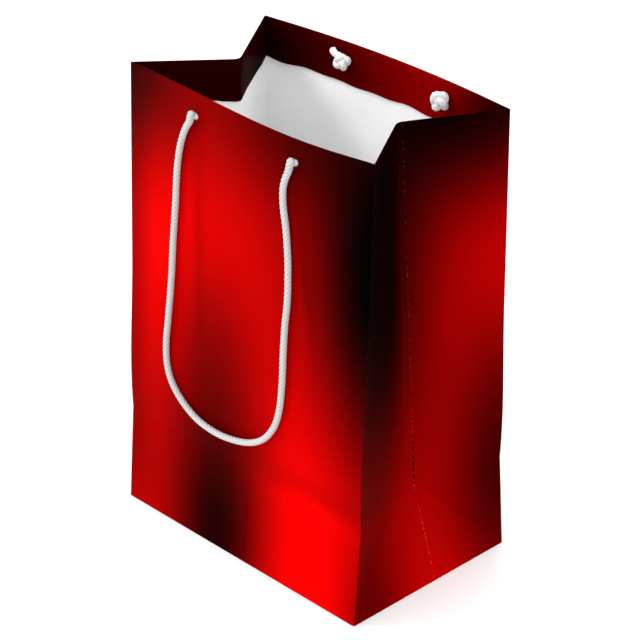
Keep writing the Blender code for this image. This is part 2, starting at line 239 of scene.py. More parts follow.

# The print is full red with soft dark spots, some of them painted shade as marked: (s, g,
# half width along s, half height along g, lean, darkness), in millimetres. A spot leans by
# `lean` along s for each step up.
PRINT_AND_SHADE_SPOTS = (
    (80, 10, 32, 70, 0, 0.85),  # front: nearly black at the bottom, left of the middle
    (75, 125, 35, 60, 0, 0.45),  # the softer patch above it
    (0, 300, 55, 50, 0, 0.65),  # top left corner
    (0, 160, 12, 110, 0, 0.35),  # left edge
    (0, 30, 45, 60, 0, 0.3),  # lower left corner
    (145, 305, 60, 50, 0, 0.7),  # along the rim, from the middle to the right
    (150, 190, 40, 60, 0, 0.25),  # a soft dimming below that
    (205, 225, 32, 80, 0, 0.98),  # black front right corner
    (240, 200, 30, 90, 0, 0.8),  # right gusset: painted shade beside its front fold
    (265, 130, 70, 200, 0, 0.3),  # painted shade: the whole of it is darker than the front
    (285, 305, 55, 50, 0, 0.9),  # its top
    (330, 60, 30, 80, 0, 0.7),  # its lower rear edge
    (215, 0, 20, 35, 0, 0.4),  # its lower front corner
    (528, 310, 70, 50, 0, 0.8),  # inside hem: darkest at the left
    (440, 310, 60, 50, 0, 0.4),  # its middle
    (328, 310, 30, 40, 0, 0.6),  # its right end
    (600, 310, 60, 50, 0, 0.5),  # left gusset: its hem
    (430, 80, 40, 85, 0, 0.55),  # back: this patch and the next two are this design's own
    (600, 120, 30, 95, 0, 0.6),
    (470, -60, 80, 110, 0, 0.75),
    (65, 200, 3, 50, 0, 0.12),  # painted shadow of each front cord: a faint streak below its hole
    (152, 215, 3, 35, -0.15, 0.12),
    (106, 30, 1, 22, 0, 0.12),  # painted shade of a faint crease in the front's lower strip
    (165, 73, 40, 6, 0, 0.09),  # a soft shade above the score line, and a gleam below it
    (165, 58, 40, 5, 0, -0.06),
)
# Painted shade that starts at a fold and fades to its right: (s, g, reach, half height, darkness).
FOLD_SHADES = ((200, 60, 30, 90, 0.35),)


# ---------------------------------------------------------------- the folded sheet


def swell(v):
    """How far a wall stands out above its score line."""
    t = np.clip(v / SWELL_REACH, 0.0, 1.0)
    return WALL_SWELL * (27 / 4) * t * (1 - t) ** 2  # t * (1 - t) ** 2 peaks at 4 / 27


def wall_face(x, v, side):
    """A long wall above the score line: v runs from 0 at the score line to 1 at the rim."""
    bow = BOW * v * (1 - (x / HALF_WIDTH) ** 2)
    out = SCORE_Y + (MOUTH_HALF - SCORE_Y) * v + bow + swell(v)
    wave = np.where(np.less(side, 0), RIM_WAVE, 0.0) * np.sin(math.pi * x / HALF_WIDTH) * v**2
    return stack(x, side * out + MOUTH_SHIFT * v, SCORE_Z + WALL_RISE * v - wave)


def mix(a, b, t):
    return a + (b - a) * np.asarray(t)[..., None]


def stack(x, y, z):
    return np.stack(np.broadcast_arrays(x, y, z), -1)


def smoothstep(t):
    t = np.clip(t, 0.0, 1.0)
    return t * t * (3 - 2 * t)


def sharp_skin(s, g):
    """The sheet's outer face with sharp creases."""
    s, g = np.broadcast_arrays(np.mod(s, ROUND), g)
    second = s >= HALF_ROUND
    turn = np.where(second, -1.0, 1.0)
    run = s - np.where(second, HALF_ROUND, 0.0)
    on_wall = run <= WIDTH
    x = turn * (run - HALF_WIDTH)
    side = -turn
    off = run - (WIDTH + HALF_DEPTH)  # from the gusset's centre crease
    away = np.abs(off) / HALF_DEPTH
    near_side = np.where(off < 0, -turn, turn)
    v = (g - SCORE_G) / WALL_RISE
    down = (SCORE_G - g) / SCORE_G

    wall = wall_face(x, v, side)
    edge = wall_face(turn * HALF_WIDTH, v, near_side)
    foot = stack(turn * (HALF_WIDTH - APEX_IN), APEX_SHIFT, APEX_Z)
    top = stack(turn * (HALF_WIDTH - FOLD_IN), MOUTH_SHIFT, HEIGHT - FOLD_DROP)
    gusset = mix(mix(foot, top, v), edge, away)

    strip = stack(x, side * (SCORE_Y + STRIP_LEAN * down), SCORE_Z * (1 - down))
    low = stack(turn * HALF_WIDTH, near_side * HALF_DEPTH, 0.0)
    high = stack(turn * HALF_WIDTH, near_side * SCORE_Y, SCORE_Z)
    corner = mix(foot, high, away) + (low - high) * down[..., None]
    rise = 1 - down
    triangle = stack(
        turn * (HALF_WIDTH - APEX_IN * rise), off * turn + APEX_SHIFT * rise, APEX_Z * rise
    )
    tray = np.where((away > down)[..., None], corner, triangle)

    under_wall = stack(x, side * (HALF_DEPTH + g), 0.0)
    under_gusset = stack(turn * (HALF_WIDTH + g), off * turn, 0.0)

    on_wall = on_wall[..., None]
    upper = np.where(on_wall, wall, gusset)
    lower = np.where(on_wall, strip, tray)
    under = np.where(on_wall, under_wall, under_gusset)
    return np.where((g >= SCORE_G)[..., None], upper, np.where((g >= 0)[..., None], lower, under))


def softness(s, g):
    """How far a crease's bend reaches along the sheet."""
    run = np.mod(s, HALF_ROUND)
    beside = smoothstep(1 - np.abs(run - WIDTH - HALF_DEPTH) / (4 * FOLD_TOP_SOFTNESS))
    top = smoothstep(1 - (RIM_G - g) / FOLD_TOP_REACH)
    return CREASE_SOFTNESS + (FOLD_TOP_SOFTNESS - CREASE_SOFTNESS) * beside * top


def soft_skin(s, g):
    """The sheet's outer face with its creases rounded, by averaging it over a small patch."""
    steps = np.linspace(-1.0, 1.0, 5)
    weights = (0.5, 1.0, 1.0, 1.0, 0.5)
    wide = softness(s, g)
    total = 0.0
    for along, weight_s in zip(steps, weights):
        for up, weight_g in zip(steps * CREASE_SOFTNESS, weights):
            total = total + sharp_skin(s + along * wide, g + up) * (weight_s * weight_g)
    return total / sum(weights) ** 2


def unit(vectors):
    return vectors / np.linalg.norm(vectors, axis=-1, keepdims=True)


def soft_normal(s, g):
    """The outward normal of the rounded sheet."""
    along = soft_skin(s + NORMAL_STEP, g) - soft_skin(s - NORMAL_STEP, g)
    up = soft_skin(s, g + NORMAL_STEP) - soft_skin(s, g - NORMAL_STEP)
    return unit(np.cross(along, up))


def mitred_normal(s, g):
    """The outward direction whose offset keeps both faces at a crease equally thick."""
    total = sum(soft_normal(s + k * MITRE_REACH, g) for k in (-1.0, -0.5, 0.0, 0.5, 1.0)) / 5
    return total / (total**2).sum(-1, keepdims=True)


def crease_distance(s):
    """Distance along the sheet to the nearest upright crease."""
    run = np.mod(s, HALF_ROUND)
    places = (0.0, WIDTH, WIDTH + HALF_DEPTH, HALF_ROUND)
    return np.min([np.abs(run - place) for place in places], axis=0)


def ripples():
    """(waves round the bag, waves per metre up it, phase, height) of the paper's slow ripples."""
    chance = np.random.default_rng(12)
    made = []
    for _ in range(14):
        around = int(chance.integers(3, 15))
        upward = chance.uniform(3.0, 17.0)
        made.append((around, upward, chance.uniform(0, 2 * math.pi), chance.uniform(0.3, 1.0)))
    return made


RIPPLES = ripples()


def relief(s, g):
    """How far the sheet stands out: slow ripples between the creases."""
    s, g = np.broadcast_arrays(s, g)
    wave = sum(
        height * np.sin(2 * math.pi * (around * s / ROUND + upward * g) + phase)
        for around, upward, phase, height in RIPPLES
    )
    free = smoothstep(crease_distance(s) / RIPPLE_EASE) * smoothstep(g / RIPPLE_EASE)
    free = free * smoothstep(np.abs(g - SCORE_G) / RIPPLE_EASE)
    free = free * smoothstep((RIM_G - g) / RIPPLE_RIM_EASE)
    return RIPPLE_HEIGHT * wave * free


def skin(s, g, depth=0.0):
    """A place on the bag: `depth` inside the sheet's outer face."""
    s, g = np.broadcast_arrays(np.asarray(s, float), np.asarray(g, float))
    place = soft_skin(s, g) + soft_normal(s, g) * relief(s, g)[..., None]
    if np.any(depth):
        place = place - mitred_normal(s, g) * np.broadcast_to(depth, s.shape)[..., None]
    return place


# ---------------------------------------------------------------- node helpers


class Field:
    """A number that varies over a surface, worked out by Math nodes."""

    def __init__(self, tree, socket):
        self.tree = tree
        self.socket = socket

    def math(self, operation, *others):
        node = self.tree.nodes.new("ShaderNodeMath")
        node.operation = operation
        for place, value in zip(node.inputs, (self, *others)):
            if isinstance(value, Field):
                self.tree.links.new(value.socket, place)
            else:
                place.default_value = value
        return Field(self.tree, node.outputs[0])

    def __add__(self, other):
        return self.math("ADD", other)

    def __sub__(self, other):
        return self.math("SUBTRACT", other)

    def __mul__(self, other):
        return self.math("MULTIPLY", other)

    def map(self, low, high, to_low=0.0, to_high=1.0):
        node = self.tree.nodes.new("ShaderNodeMapRange")
        node.interpolation_type = "SMOOTHSTEP"
        self.tree.links.new(self.socket, node.inputs["Value"])
        ends = {"From Min": low, "From Max": high, "To Min": to_low, "To Max": to_high}
        for name, value in ends.items():
            node.inputs[name].default_value = value
        return Field(self.tree, node.outputs["Result"])


def add_node(tree, kind, inputs=(), **settings):
    node = tree.nodes.new(kind)
    for key, value in settings.items():
        setattr(node, key, value)
    for name, value in dict(inputs).items():
        if isinstance(value, Field):
            tree.links.new(value.socket, node.inputs[name])
        elif isinstance(value, bpy.types.NodeSocket):
            tree.links.new(value, node.inputs[name])
        else:
            node.inputs[name].default_value = value
    return node


def new_material(name, **uniform):
    """A Principled material, with the values that are the same all over the surface."""
    material = bpy.data.materials.new(name)
    material.use_nodes = True
    shader = material.node_tree.nodes["Principled BSDF"]
    for key, value in uniform.items():
        shader.inputs[key.replace("_", " ")].default_value = value
    return material, material.node_tree, shader


def noise(tree, vector, scale, detail=3.0, roughness=0.5):
    node = add_node(
        tree,
        "ShaderNodeTexNoise",
        {"Vector": vector, "Scale": scale, "Detail": detail, "Roughness": roughness},
    )
    return Field(tree, node.outputs["Fac"])


def object_place(tree):
    return add_node(tree, "ShaderNodeTexCoord").outputs["Object"]


def stretched(tree, vector, scale):
    return add_node(tree, "ShaderNodeMapping", {"Vector": vector, "Scale": scale}).outputs["Vector"]


def sheet_place(tree):
    """(s, g) in metres, as two fields."""
    place = add_node(tree, "ShaderNodeUVMap", uv_map=SHEET_UV).outputs["UV"]
    split = add_node(tree, "ShaderNodeSeparateXYZ", {"Vector": place})
    s = Field(tree, split.outputs["X"]) * ROUND
    g = (Field(tree, split.outputs["Y"]) - UV_LIFT) * ROUND
    return s, g


def bump(tree, shader, height, distance, strength=1.0):
    node = add_node(tree, "ShaderNodeBump", {"Height": height, "Distance": distance, "Strength": strength})
    tree.links.new(node.outputs["Normal"], shader.inputs["Normal"])


def tint(tree, shader, amount, dark, light):
    """Gives the material a base colour between two."""
    node = add_node(tree, "ShaderNodeMix", data_type="RGBA")
    factor, low, high = node.inputs[0], node.inputs[6], node.inputs[7]
    tree.links.new(amount.socket, factor)
    low.default_value = (*dark, 1.0)
    high.default_value = (*light, 1.0)
    tree.links.new(node.outputs[2], shader.inputs["Base Color"])


def print_and_shade_value(s, g):
    """Brightness of the printed red with its painted shade, from 0 to 1, as the eye sees it."""
    value = None
    for at_s, at_g, wide, tall, lean, dark in PRINT_AND_SHADE_SPOTS:
        up = g - at_g * MM
        along = s - at_s * MM
        if lean:
            along = along - up * lean
        off_s = along.math("WRAP", HALF_ROUND, -HALF_ROUND) * (1 / (wide * MM))
        off_g = up * (1 / (tall * MM))
        spot = ((off_s * off_s + off_g * off_g) * -0.5).math("EXPONENT")
        light = (spot * -dark) + 1.0
        value = light if value is None else value * light
    # Painted shade on the gusset just past its front fold.
    for at_s, at_g, wide, tall, dark in FOLD_SHADES:
        past = (s - at_s * MM).math("WRAP", HALF_ROUND, -HALF_ROUND)
        off_s = past * (1 / (wide * MM))
        off_g = (g - at_g * MM) * (1 / (tall * MM))
        spot = ((off_s * off_s + off_g * off_g) * -0.5).math("EXPONENT")
        value = value * ((spot * past.map(0.0, SHADE_START) * -dark) + 1.0)
    return value


def crease_mask(s, g, reach):
    """1 on a fold of the sheet, falling to 0 at `reach` from it."""
    run = s.math("WRAP", HALF_ROUND, 0.0)
    off = (run - (WIDTH + HALF_DEPTH)).math("ABSOLUTE")
    upright = off.math("MINIMUM", (off - HALF_DEPTH).math("ABSOLUTE"))
    upright = upright.math("MINIMUM", run)
    score = (g - SCORE_G).math("ABSOLUTE")
    slanting = (off + (g - SCORE_G)).math("ABSOLUTE") * math.sqrt(0.5)
    base = g.math("ABSOLUTE")
    rim = (g - RIM_G).math("ABSOLUTE")
    nearest = upright.math("MINIMUM", score).math("MINIMUM", slanting)
    nearest = nearest.math("MINIMUM", base).math("MINIMUM", rim)
    return nearest.map(0.0, reach, 1.0, 0.0)


def printed_paper(name):
    """Gloss-laminated print: soft dark spots on red, some of them painted shade, fine film texture, ink
    cracked at folds, painted shade along an old crease and a painted highlight on worn folds.
    """
    material, tree, shader = new_material(name, Specular_IOR_Level=0.003)
    s, g = sheet_place(tree)
    value = print_and_shade_value(s, g)
    place = object_place(tree)
    mottle = noise(tree, place, 900.0, 4.0, 0.6)
    value = value * mottle.map(0.3, 0.7, 0.985, 1.015)
    # An old crease runs up each gusset beside its fold: a painted shade along it above the
    # corner folds, and pale flecks where the ink has broken.
    run = s.math("WRAP", HALF_ROUND, 0.0)
    beside = g.map(SCORE_G, RIM_G, *OLD_CREASE)
    off = (run - (WIDTH + HALF_DEPTH) - beside).math("ABSOLUTE")
    broken = noise(tree, place, 420.0, 3.0, 0.7)
    dots = noise(tree, place, 700.0, 2.0, 0.5)
    outside = g.map(RIM_G + 0.0002, RIM_G + 0.0008, 1.0, 0.0)
    crack_shade = off.map(0.0002, 0.0006, 1.0, 0.0) * g.map(*CRACK_SHADE_FOOT) * g.map(*CRACK_SHADE_TOP, 1.0, 0.0)
    value = value * ((crack_shade * -0.65) + 1.0)
    flecks = off.map(0.0002, 0.0005, 1.0, 0.0) * dots.map(0.54, 0.60)
    flecks = flecks * g.map(*FLECK_FADE, 1.0, 0.3) * outside
    wear_and_highlight = crease_mask(s, g, WEAR_AND_HIGHLIGHT_REACH) * broken.map(0.50, 0.66) * outside
    linear = value.math("POWER", EYE_POWER)
    # Along the folds the red is lighter: thinned, worn ink and a painted highlight where turned edges
    # catch the light.
    red = linear + wear_and_highlight * 0.025 + flecks * 0.14
    pale = wear_and_highlight * 0.002 + flecks * 0.03
    colour = add_node(tree, "ShaderNodeCombineColor", {"Red": red, "Green": pale, "Blue": pale})
    tree.links.new(colour.outputs["Color"], shader.inputs["Base Color"])
    dull = noise(tree, place, 60.0, 3.0, 0.6).map(0.3, 0.7, 0.36, 0.42)
    tree.links.new((dull + wear_and_highlight * 0.2).socket, shader.inputs["Roughness"])
    film = noise(tree, place, 260.0, 2.0, 0.5) * 0.4 + noise(tree, place, 1500.0, 2.0, 0.5) * 0.6
    bump(tree, shader, film, 0.00004, 0.4)
    return material


def inside_paper(name):
    """The sheet's uncoated white side: faint cloudy pulp and short fibres."""
    material, tree, shader = new_material(name, Roughness=0.88, Specular_IOR_Level=0.25)
    place = object_place(tree)
    cloud = noise(tree, place, 70.0, 4.0, 0.6)
    fibres = noise(tree, stretched(tree, place, (900.0, 900.0, 200.0)), 1.0, 3.0, 0.7)
    amount = (cloud * 0.6 + fibres * 0.4).map(0.3, 0.7)
    tint(tree, shader, amount, (0.95, 0.95, 0.953), (0.975, 0.975, 0.975))
    bump(tree, shader, fibres, 0.00008, 0.4)
    return material


def paper_edge(name):
    """The cut edge of the sheet: white pulp with the red film's edge bleeding in."""
    material, tree, shader = new_material(name, Roughness=0.9)
    place = object_place(tree)
    amount = noise(tree, place, 700.0, 3.0, 0.7).map(0.35, 0.65)
    tint(tree, shader, amount, (0.55, 0.16, 0.16), (0.80, 0.55, 0.55))
    bump(tree, shader, amount, 0.00005, 0.5)
    return material


def grey_card(name):
    """Pressed grey card with dark and light flecks."""
    material, tree, shader = new_material(name, Roughness=0.92, Specular_IOR_Level=0.2)
    place = object_place(tree)
    pulp = noise(tree, place, 120.0, 5.0, 0.65)
    flecks = noise(tree, stretched(tree, place, (1500.0, 1500.0, 500.0)), 1.0, 2.0, 0.8)
    amount = (pulp * 0.5 + flecks * 0.5).map(0.34, 0.66)
    tint(tree, shader, amount, (0.42, 0.40, 0.37), (0.68, 0.66, 0.62))
    bump(tree, shader, flecks, 0.0001, 0.5)
    return material


def lined_board(name):
    """White-lined board: a smooth white face with faint grey clouds, and a grey cut edge."""
    material, tree, shader = new_material(name, Roughness=0.75, Specular_IOR_Level=0.3)
    place = object_place(tree)
    cloud = noise(tree, place, 40.0, 5.0, 0.6).map(0.3, 0.7)
    fibres = noise(tree, stretched(tree, place, (260.0, 1100.0, 1100.0)), 1.0, 3.0, 0.7)
    normal = add_node(tree, "ShaderNodeNewGeometry").outputs["Normal"]
    level = Field(tree, add_node(tree, "ShaderNodeSeparateXYZ", {"Vector": normal}).outputs["Z"])
    edge = level.math("ABSOLUTE").map(0.5, 0.9, 1.0, 0.0)
    amount = (cloud * 0.5 + fibres * 0.5 - edge).math("MAXIMUM", 0.0)
    tint(tree, shader, amount, (0.66, 0.65, 0.63), (0.94, 0.94, 0.93))
    bump(tree, shader, fibres, 0.00008, 0.5)
    return material


def cord_yarn(name, crest, shaded_trough):
    """White twisted yarn: fine filaments along the twist, with painted shade making it faintly grey in the
    grooves.
    """
    material, tree, shader = new_material(
        name, Roughness=0.62, Specular_IOR_Level=0.3, Sheen_Weight=0.25, Sheen_Roughness=0.5
    )
    place = add_node(tree, "ShaderNodeUVMap", uv_map=ROPE_UV).outputs["UV"]
    split = add_node(tree, "ShaderNodeSeparateXYZ", {"Vector": place})
    around, along = Field(tree, split.outputs["X"]), Field(tree, split.outputs["Y"])
    groove = (around * (2 * math.pi * STRANDS)).math("COSINE").map(-1.0, -0.35, 1.0, 0.0)
    filaments = ((around * YARNS + along * 40.0) * (2 * math.pi)).math("SINE")
    lint = noise(tree, object_place(tree), 2600.0, 3.0, 0.7)
    height = filaments * 0.25 + lint * 0.6
    # The grooves between strands are painted darker: painted shade.
    amount = (groove * 0.75 + lint * 0.25).math("MINIMUM", 1.0)
    tint(tree, shader, amount, (crest, crest, crest * 0.993), (shaded_trough, shaded_trough, shaded_trough))
    bump(tree, shader, height, 0.00012, 0.6)
    return material


# ---------------------------------------------------------------- mesh helpers


def link(name, mesh):
    obj = bpy.data.objects.new(name, mesh)
    bpy.context.scene.collection.objects.link(obj)
    return obj


def grid_mesh(name, points, places):
    """A sheet from a grid of points, (rows, columns, 3), and their places (s, g) on the paper.
    Points that fall together, as at the tip of a triangle, become one."""
    rows, columns = points.shape[:2]
    index = np.arange(rows * columns).reshape(rows, columns)
    faces = np.stack([index[:-1, :-1], index[:-1, 1:], index[1:, 1:], index[1:, :-1]], -1)
    mesh = bpy.data.meshes.new(name)
    mesh.from_pydata(points.reshape(-1, 3).tolist(), [], faces.reshape(-1, 4).tolist())
    layer = mesh.uv_layers.new(name=SHEET_UV)
    corners = np.empty(len(mesh.loops), np.int32)
    mesh.loops.foreach_get("vertex_index", corners)
    flat = places.reshape(-1, 2) / ROUND + (0.0, UV_LIFT)
    layer.data.foreach_set("uv", flat[corners].astype(np.float32).ravel())
    form = bmesh.new()
    form.from_mesh(mesh)
    bmesh.ops.remove_doubles(form, verts=form.verts, dist=1e-6)
    form.to_mesh(mesh)
    form.free()
    return mesh


def settle(obj):
    """Applies the modifiers, so that the mesh is final."""
    graph = bpy.context.evaluated_depsgraph_get()
    mesh = bpy.data.meshes.new_from_object(obj.evaluated_get(graph))
    obj.modifiers.clear()
    obj.data = mesh
    mesh.set_sharp_from_angle(angle=math.radians(SHARP_ANGLE))
    return obj


def shade_smooth(mesh):
    mesh.polygons.foreach_set("use_smooth", [True] * len(mesh.polygons))


def paper_piece(name, points, places, thickness=SHEET, materials=None, cutters=()):
    """A piece of the sheet: its outer face on the points, `thickness` of paper inside it."""
    mesh = grid_mesh(name, points, places)
    shade_smooth(mesh)
    obj = link(name, mesh)
    for material in materials or (PRINTED, INSIDE, EDGE):
        mesh.materials.append(material)
    solid = obj.modifiers.new("Thickness", "SOLIDIFY")
    solid.thickness = thickness
    solid.offset = -1.0
    solid.use_even_offset = False
    solid.material_offset = 1
    solid.material_offset_rim = 2
    for cutter in cutters:
        cut = obj.modifiers.new("Hole", "BOOLEAN")
        cut.operation = "DIFFERENCE"
        cut.object = cutter
    return settle(obj)


def lines(length, step=COARSE_STEP):
    """Grid lines from 0 to length, close together near both ends."""
    last = FINE_STEPS[-1]
    middle = np.linspace(last, length - last, max(2, round((length - 2 * last) / step) + 1))
    return np.concatenate([FINE_STEPS[:-1], middle, [length - x for x in FINE_STEPS[-2::-1]]])


def panel_points(s_lines, g_lines, depth=0.0):
    s, g = np.meshgrid(s_lines, g_lines)
    return skin(s, g, depth), np.stack([s, g], -1)


# ---------------------------------------------------------------- pieces of the sheet


def stand_for(obj, node, body=None):
    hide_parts(node)
    if body:
        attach(obj, body)
    return obj


def wall_start(side):
    """s at the wall's first edge."""
    return 0.0 if side == FRONT else HALF_ROUND


def hole_place(side, end):
    """(s, g) of a cord hole."""
    across = -side * (HOLE_SHIFT + end * HOLE_HALF)
    return wall_start(side) + HALF_WIDTH + across, RIM_G - HOLE_DROP


def hole_cutters(side):
    made = []
    for end in (LEFT, RIGHT):
        s, g = hole_place(side, end)
        where = Vector(skin(s, g))
        outward = Vector(soft_normal(s, g))
        form = bmesh.new()
        size = {"radius1": HOLE, "radius2": HOLE, "depth": 0.02}
        bmesh.ops.create_cone(form, cap_ends=True, segments=28, **size)
        turn = outward.to_track_quat("Z", "Y").to_matrix().to_4x4()
        bmesh.ops.transform(form, matrix=Matrix.Translation(where) @ turn, verts=form.verts)
        mesh = bpy.data.meshes.new("punch")
        form.to_mesh(mesh)
        form.free()
        for material in (PRINTED, INSIDE, EDGE):
            mesh.materials.append(material)
        mesh.polygons.foreach_set("material_index", [2] * len(mesh.polygons))
        made.append(link(f"punch_{WALL_NAME[side]}_{SIDE_NAME[end]}", mesh))
    return made


def turn_radius(s):
    """Radius of the turn over the rim: larger round the card in the walls."""
    run = np.mod(s, HALF_ROUND)
    inside_wall = np.minimum(run, WIDTH - run)
    return GUSSET_TURN + (WALL_TURN - GUSSET_TURN) * smoothstep(inside_wall / TURN_EASE)


def hem_points(s_lines):
    """The sheet from just below the rim, over it and down inside: points and places."""
    radius = turn_radius(s_lines)
    base = skin(s_lines, RIM_G - radius)
    outward = mitred_normal(s_lines, RIM_G - radius)
    up = unit(base - skin(s_lines, RIM_G - radius - 0.002))
    centre = base - outward * radius[:, None]
    rows, ups = [skin(s_lines, np.full_like(s_lines, TURN_G))], [np.full_like(s_lines, TURN_G)]
    for angle in np.linspace(0.0, math.pi, TURN_ROWS):
        swing = outward * math.cos(angle) + up * math.sin(angle)
        rows.append(centre + swing * radius[:, None])
        ups.append(RIM_G - radius + radius * angle)
    over = ups[-1]
    round_angle = 2 * math.pi * s_lines / ROUND
    wave = sum(height * np.sin(waves * round_angle + phase) for height, waves, phase in HEM_WAVES)
    reach = HEM - radius + wave
    loose = HEM_LIFT * (1 + np.sin(HEM_LIFT_WAVES * round_angle))
    for share in HEM_ROWS:
        drop = reach * share
        lift = loose * smoothstep((share - HEM_LIFT_FROM) / (1 - HEM_LIFT_FROM))
        level = RIM_G - radius - drop
        rows.append(skin(s_lines, level, 2 * radius + lift))
        ups.append(over + drop)
    rows = np.array(rows)
    iron_corners(rows[TURN_ROWS // 2 + 1 :], s_lines)
    places = np.stack([np.broadcast_to(s_lines, rows.shape[:2]), np.array(ups)], -1)
    return rows, places


def iron_corners(rows, s_lines):
    """Inside an acute corner the paper runs straight from the corner to CORNER_REACH past it,
    because the faces at the corner itself have no room."""
    run = np.mod(s_lines + CORNER_REACH / 2, HALF_ROUND) - CORNER_REACH / 2
    from_corner = np.minimum(np.abs(run), np.abs(run - WIDTH))
    kept = (from_corner < 1e-7) | (from_corner > CORNER_REACH)
    for row in rows:
        for axis in range(3):
            row[:, axis] = np.interp(s_lines, s_lines[kept], row[kept, axis])


def make_wall(side):
    """A long wall: panel, turned hem and the card strip between them."""
    name = WALL_NAME[side]
    body = name + "_wall"
    s_lines = wall_start(side) + lines(WIDTH)
    g_lines = SCORE_G + lines(TURN_G - SCORE_G)
    punches = hole_cutters(side)
    panel = paper_piece(name + "_panel_paper", *panel_points(s_lines, g_lines), cutters=punches)
    stand_for(panel, name + "_panel", body)
    hem = paper_piece(name + "_hem_paper", *hem_points(s_lines), cutters=punches)
    stand_for(hem, name + "_hem", body)
    card_lines = s_lines[(s_lines > s_lines[0] + TURN_EASE) & (s_lines < s_lines[-1] - TURN_EASE)]
    card_up = RIM_G - HEM + CARD_INSET + lines(HEM - 3 * CARD_INSET, 3 * CARD_INSET)
    depth = SHEET + CARD_GAP
    card = paper_piece(
        name + "_card_strip",
        *panel_points(card_lines, card_up, depth),
        thickness=2 * (WALL_TURN - SHEET - CARD_GAP),
        materials=(CARD, CARD, CARD),
        cutters=punches,
    )
    stand_for(card, name + "_card", body)
    for punch in punches:
        bpy.data.objects.remove(punch)


def gusset_lines(end, side):
    """s across half a gusset, from the lower to the higher."""
    first = WIDTH if end == RIGHT else HALF_ROUND + WIDTH
    second_half = (end == RIGHT) == (side == BACK)
    return first + (HALF_DEPTH if second_half else 0.0) + lines(HALF_DEPTH)


def make_gusset_half(end, side):
    name = f"{SIDE_NAME[end]}_{WALL_NAME[side]}_gusset"
    s_lines = gusset_lines(end, side)
    # The half is made in two pieces: its foot, from the score line up to FOOT_TOP, and the rest, from
    # there to where the hem starts.
    foot_lines = SCORE_G + lines(FOOT_TOP - SCORE_G)
    foot = paper_piece(name + "_foot_paper", *panel_points(s_lines, foot_lines))
    stand_for(foot, name)
    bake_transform(foot)
    g_lines = FOOT_TOP + lines(TURN_G - FOOT_TOP)
    panel = paper_piece(name + "_paper", *panel_points(s_lines, g_lines))
    stand_for(panel, name)
    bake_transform(panel)
    hem = paper_piece(name + "_hem_paper", *hem_points(s_lines))
    stand_for(hem, name + "_hem")
    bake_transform(hem)


def make_tray():
    """The lower strips, the corner folds and the base triangles."""
    g_lines = lines(SCORE_G)
    for side in (FRONT, BACK):
        s_lines = wall_start(side) + lines(WIDTH)
        strip = paper_piece(f"{WALL_NAME[side]}_lower_strip_paper", *panel_points(s_lines, g_lines))
        stand_for(strip, WALL_NAME[side] + "_lower_strip", "base")
    shares = lines(HALF_DEPTH) / HALF_DEPTH
    rows, columns = np.meshgrid(shares, shares, indexing="ij")
    for end in (LEFT, RIGHT):
        middle = (WIDTH if end == RIGHT else HALF_ROUND + WIDTH) + HALF_DEPTH
        for side in (FRONT, BACK):
            hand = -1 if (end == RIGHT) == (side == FRONT) else 1
            # Each row runs from the wall's crease to the slanting crease.
            share = columns if hand < 0 else columns[:, ::-1]
            s = middle + hand * HALF_DEPTH * (1 - rows * share)
            g = HALF_DEPTH * rows
            name = f"{SIDE_NAME[end]}_{WALL_NAME[side]}_corner_fold"
            fold = paper_piece(name + "_paper", skin(s, g), np.stack([s, g], -1))
            stand_for(fold, name, "base")
        beside = shares[1:6]
        across = np.sort(np.concatenate([np.linspace(-1.0, 1.0, 27), beside - 1, 1 - beside]))
        up, wide = np.meshgrid(shares, across, indexing="ij")
        s = middle + HALF_DEPTH * (1 - up) * wide
        g = HALF_DEPTH * up
        name = SIDE_NAME[end] + "_base_triangle"
        triangle = paper_piece(name + "_paper", skin(s, g), np.stack([s, g], -1))
        stand_for(triangle, name, "base")


def make_bottom():
    """The two long flaps, the end tucks and the loose board."""
    x_lines = np.linspace(-HALF_WIDTH + FLAP_INSET, HALF_WIDTH - FLAP_INSET, 41)
    # The front flap lies on the floor from the front edge to past the middle.
    further = np.linspace(-HALF_DEPTH + 0.004, FLAP_REACH, 20)
    y_lines = np.concatenate([[-HALF_DEPTH + FLAP_INSET], further])
    x, y = np.meshgrid(x_lines, y_lines)
    s, g = x + HALF_WIDTH, -(y + HALF_DEPTH)
    front = stack(x, y, FLOOR_GAP)
    obj = paper_piece("front_bottom_flap_paper", front[::-1], np.stack([s, g], -1)[::-1])
    stand_for(obj, "bottom_front_flap", "base")
    # The back flap lies on the floor from the back edge, and on the front flap past its edge.
    y_lines = np.concatenate(
        [
            [HALF_DEPTH - FLAP_INSET],
            np.linspace(HALF_DEPTH - 0.004, FLAP_REACH + 0.005, 9),
            np.linspace(FLAP_REACH + 0.004, FLAP_REACH + 0.0004, 9),
            np.linspace(FLAP_REACH - 0.003, -FLAP_REACH, 9),
        ]
    )
    x, y = np.meshgrid(x_lines, y_lines)
    step = smoothstep((FLAP_REACH + 0.0036 - y) / 0.003)
    z = FLOOR_GAP + (SHEET + 0.0001) * step
    s, g = HALF_ROUND + HALF_WIDTH - x, y - HALF_DEPTH
    obj = paper_piece("back_bottom_flap_paper", np.stack([x, y, z], -1), np.stack([s, g], -1))
    stand_for(obj, "bottom_back_flap", "base")
    # Each end tuck is a trapezium above the flaps.
    for end in (LEFT, RIGHT):
        inward = np.linspace(0.001, TUCK_DEPTH, 14)
        share = np.linspace(-1.0, 1.0, 21)
        reach, wide = np.meshgrid(inward, share, indexing="ij")
        y = wide * (HALF_DEPTH - 0.0015 - reach)
        x = end * (HALF_WIDTH - reach)
        z = TUCK_LEVEL + 0.0002 * np.sin(reach * 60)
        middle = (WIDTH if end == RIGHT else HALF_ROUND + WIDTH) + HALF_DEPTH
        points = np.stack([x, y, z], -1)
        places = np.stack([middle + y * end, -reach], -1)
        name = SIDE_NAME[end] + "_end_tuck_paper"
        obj = paper_piece(name, points[::-1], places[::-1])
        stand_for(obj, f"{SIDE_NAME[end]}_bottom_tuck", "base")
    make_board()


